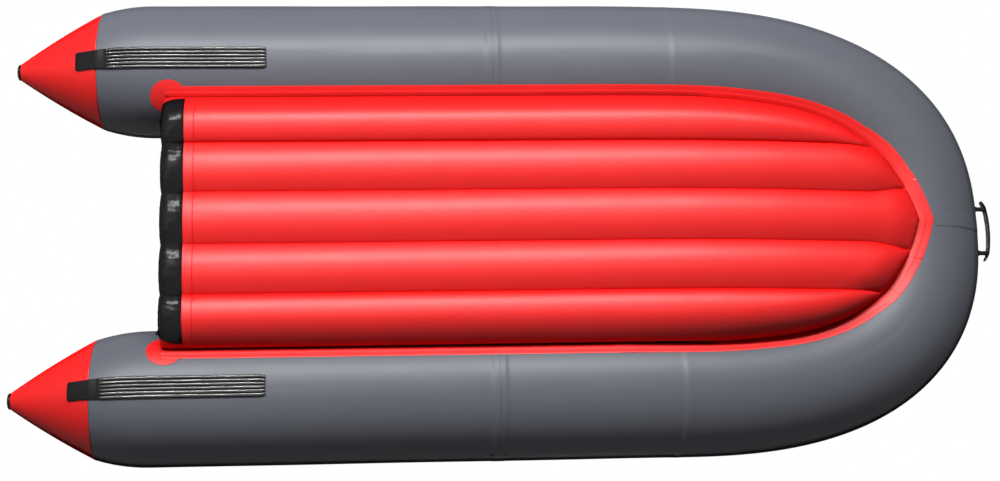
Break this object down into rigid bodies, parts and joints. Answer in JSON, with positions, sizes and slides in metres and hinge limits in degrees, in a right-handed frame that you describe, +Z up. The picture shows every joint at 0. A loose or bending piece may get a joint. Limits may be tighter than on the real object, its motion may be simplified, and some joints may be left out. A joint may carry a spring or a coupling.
{
  "type": "inflatable boat",
  "caption": "Inflatable motor boat: U-shaped air tubes with stern cones, lobed inflatable floor, rigid transom, sliding bench seats, swivelling rowlocks and a moulded bow handle.",
  "frame": {"origin": "centre of the part's box in plan, on the plane of the floor chambers' crests that the boat rests on", "axes": "+X towards the bow, +Y to port, +Z up"},
  "size_m": [3.361, 1.558, 0.6015],
  "materials": {
    "grey_fabric": "coated grey fabric, satin",
    "red_fabric": "coated red fabric, satin",
    "black_rubber": "black rubber, satin",
    "black_plastic": "black moulded plastic",
    "grey_plastic": "pale grey moulded plastic",
    "transom_wood": "varnished plywood",
    "seat_wood": "varnished plywood",
    "horn_metal": "cast aluminium"
  },
  "bodies": {
    "hull": {"baffle_port": "grey_fabric", "baffle_starboard": "grey_fabric", "bow_handle": "black_rubber", "bow_handle_pad_port": "black_rubber", "bow_handle_pad_starboard": "black_rubber", "bow_seam_tape": "grey_fabric", "cone_cap_port": "black_rubber", "cone_cap_starboard": "black_rubber", "cone_port": "red_fabric", "cone_starboard": "red_fabric", "drain_tube": "black_plastic", "floor_bottom": "red_fabric", "floor_deck": "grey_fabric", "floor_tape_port": "red_fabric", "floor_tape_starboard": "red_fabric", "floor_wear_band": "black_rubber", "floor_web_port_inner": "red_fabric", "floor_web_port_outer": "red_fabric", "floor_web_starboard_inner": "red_fabric", "floor_web_starboard_outer": "red_fabric", "motor_pad_inner": "black_plastic", "motor_pad_outer": "black_plastic", "rowlock_base_port": "black_rubber", "rowlock_base_starboard": "black_rubber", "seat_rail_port": "black_rubber", "seat_rail_starboard": "black_rubber", "strake_port": "black_rubber", "strake_starboard": "black_rubber", "tape_patch_port": "red_fabric", "tape_patch_starboard": "red_fabric", "transom_board": "transom_wood", "transom_holder_port": "black_rubber", "transom_holder_starboard": "black_rubber", "tube_port_aft": "grey_fabric", "tube_port_bow": "grey_fabric", "tube_starboard_aft": "grey_fabric", "tube_starboard_bow": "grey_fabric", "valve_body_bow": "black_plastic", "valve_body_floor": "black_plastic", "valve_body_port": "black_plastic", "valve_body_starboard": "black_plastic"},
    "seat_aft": {"seat_aft_board": "seat_wood", "seat_aft_shoe_port": "black_plastic", "seat_aft_shoe_starboard": "seat_wood"},
    "seat_forward": {"seat_forward_board": "seat_wood", "seat_forward_shoe_port": "black_plastic", "seat_forward_shoe_starboard": "seat_wood"},
    "rowlock_port": {"rowlock_horn_port": "horn_metal"},
    "rowlock_starboard": {"rowlock_horn_starboard": "horn_metal"},
    "valve_button_port": {"valve_button_port": "grey_plastic"},
    "valve_cap_port": {"valve_cap_port": "black_plastic"},
    "valve_button_starboard": {"valve_button_starboard": "grey_plastic"},
    "valve_cap_starboard": {"valve_cap_starboard": "black_plastic"},
    "valve_button_bow": {"valve_button_bow": "grey_plastic"},
    "valve_cap_bow": {"valve_cap_bow": "black_plastic"},
    "valve_button_floor": {"valve_button_floor": "grey_plastic"},
    "valve_cap_floor": {"valve_cap_floor": "black_plastic"},
    "drain_plug": {"drain_plug": "black_rubber"}
  },
  "joints": [
    {"name": "seat_aft_slide", "type": "slide", "parent": "hull", "child": "seat_aft", "axis": [1, 0, 0], "range_m": [-0.2, 0.18]},
    {"name": "seat_forward_slide", "type": "slide", "parent": "hull", "child": "seat_forward", "axis": [1, 0, 0], "range_m": [-0.18, 0.24]},
    {"name": "rowlock_port_turn", "type": "hinge", "parent": "hull", "child": "rowlock_port", "pos_m": [-0.3815, 0.556, 0.519], "axis": [0, 0, 1], "continuous": true},
    {"name": "rowlock_starboard_turn", "type": "hinge", "parent": "hull", "child": "rowlock_starboard", "pos_m": [-0.3815, -0.556, 0.519], "axis": [0, 0, 1], "continuous": true},
    {"name": "valve_press_port", "type": "slide", "parent": "hull", "child": "valve_button_port", "axis": [0, 0.9272, -0.3746], "range_m": [0, 0.005], "stiffness_N_per_m": 120},
    {"name": "valve_twist_port", "type": "hinge", "parent": "hull", "child": "valve_cap_port", "pos_m": [-0.8915, 0.34924, 0.34554], "axis": [0, -0.9272, 0.3746], "range_deg": [0, 90]},
    {"name": "valve_press_starboard", "type": "slide", "parent": "hull", "child": "valve_button_starboard", "axis": [0, -0.9272, -0.3746], "range_m": [0, 0.005], "stiffness_N_per_m": 120},
    {"name": "valve_twist_starboard", "type": "hinge", "parent": "hull", "child": "valve_cap_starboard", "pos_m": [-0.8915, -0.34924, 0.34554], "axis": [0, 0.9272, 0.3746], "range_deg": [0, 90]},
    {"name": "valve_press_bow", "type": "slide", "parent": "hull", "child": "valve_button_bow", "axis": [0, -0.9272, -0.3746], "range_m": [0, 0.005], "stiffness_N_per_m": 120},
    {"name": "valve_twist_bow", "type": "hinge", "parent": "hull", "child": "valve_cap_bow", "pos_m": [0.1285, -0.34924, 0.34554], "axis": [0, 0.9272, 0.3746], "range_deg": [0, 90]},
    {"name": "valve_press_floor", "type": "slide", "parent": "hull", "child": "valve_button_floor", "axis": [0, 0, -1], "range_m": [0, 0.005], "stiffness_N_per_m": 120},
    {"name": "valve_twist_floor", "type": "hinge", "parent": "hull", "child": "valve_cap_floor", "pos_m": [-0.9115, 0, 0.1223], "axis": [0, 0, 1], "range_deg": [0, 90]},
    {"name": "drain_plug_slide", "type": "slide", "parent": "hull", "child": "drain_plug", "axis": [0.9962, 0, 0.0872], "range_m": [0, 0.045]}
  ]
}
